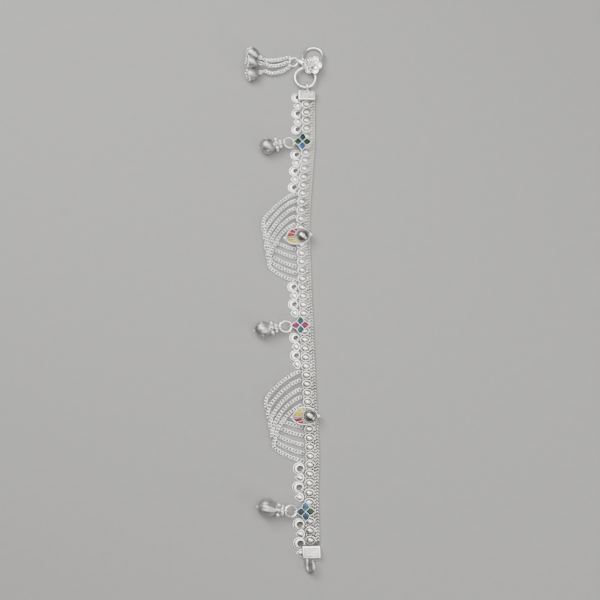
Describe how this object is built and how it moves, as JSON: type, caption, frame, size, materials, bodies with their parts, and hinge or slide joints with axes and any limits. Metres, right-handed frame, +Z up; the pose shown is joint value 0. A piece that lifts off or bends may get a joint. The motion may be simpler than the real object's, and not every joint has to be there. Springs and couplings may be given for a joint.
{
  "type": "payal anklet",
  "caption": "Silver anklet chain with stamped studs, edge charms, enamelled stars and motifs, draped chains, drop bells, a hook and a ring clasp with tassel.",
  "frame": {"origin": "middle of the footprint of the anklet as it lies, on the surface under it", "axes": "+Y along the band towards the ring clasp, +X towards the band's plain woven edge, +Z up"},
  "size_m": [0.0416, 0.2684, 0.0094],
  "materials": {
    "frosted_silver": "white silver, pickled and lightly frosted, with bright high spots",
    "polished_silver": "polished silver wire",
    "oxidised_silver": "polished silver with dark oxide left in the grooves",
    "enamelled_star": "bright silver tray under clear coloured enamel",
    "enamelled_motif": "polished silver dome and cells with coloured enamel"
  },
  "bodies": {
    "root": {"woven_band": "frosted_silver", "stud_row": "frosted_silver", "edge_charm_01_round": "frosted_silver", "edge_charm_02_pointed": "frosted_silver", "edge_charm_03_round": "frosted_silver", "edge_charm_04_pointed": "frosted_silver", "edge_charm_05_round": "frosted_silver", "edge_charm_06_round": "frosted_silver", "edge_charm_07_pointed": "frosted_silver", "edge_charm_08_round": "frosted_silver", "edge_charm_09_pointed": "frosted_silver", "edge_charm_10_round": "frosted_silver", "edge_charm_11_round": "frosted_silver", "edge_charm_12_pointed": "frosted_silver", "edge_charm_13_round": "frosted_silver", "edge_charm_14_pointed": "frosted_silver", "edge_charm_15_round": "frosted_silver", "edge_charm_16_pointed": "frosted_silver", "edge_charm_17_round": "frosted_silver", "edge_charm_18_pointed": "frosted_silver", "edge_charm_19_round": "frosted_silver", "edge_charm_20_pointed": "frosted_silver", "edge_charm_21_round": "frosted_silver", "edge_charm_22_pointed": "frosted_silver", "edge_charm_23_round": "frosted_silver", "edge_charm_24_pointed": "frosted_silver", "edge_charm_25_round": "frosted_silver", "edge_charm_26_pointed": "frosted_silver", "star_charm_ring_side": "enamelled_star", "drop_ring_ring_side": "polished_silver", "drop_bell_ring_side": "oxidised_silver", "star_charm_middle": "enamelled_star", "drop_ring_middle": "polished_silver", "drop_bell_middle": "oxidised_silver", "star_charm_hook_side": "enamelled_star", "drop_ring_hook_side": "polished_silver", "drop_bell_hook_side": "oxidised_silver", "mango_motif_ring_side": "enamelled_motif", "mango_motif_hook_side": "enamelled_motif", "swag_chain_ring_side_1": "polished_silver", "swag_chain_ring_side_2": "polished_silver", "swag_chain_ring_side_3": "polished_silver", "swag_chain_ring_side_4": "polished_silver", "swag_chain_ring_side_5": "polished_silver", "swag_chain_hook_side_1": "polished_silver", "swag_chain_hook_side_2": "polished_silver", "swag_chain_hook_side_3": "polished_silver", "swag_chain_hook_side_4": "polished_silver", "swag_chain_hook_side_5": "polished_silver", "ring_end_cap": "frosted_silver", "hook_end_cap": "frosted_silver", "first_ring": "polished_silver", "tassel_ring": "polished_silver", "second_ring_with_flower": "frosted_silver", "tassel_chain_upper": "polished_silver", "tassel_bell_upper": "oxidised_silver", "tassel_chain_middle": "polished_silver", "tassel_bell_middle": "oxidised_silver", "tassel_chain_lower": "polished_silver", "tassel_bell_lower": "oxidised_silver"}
  },
  "joints": []
}
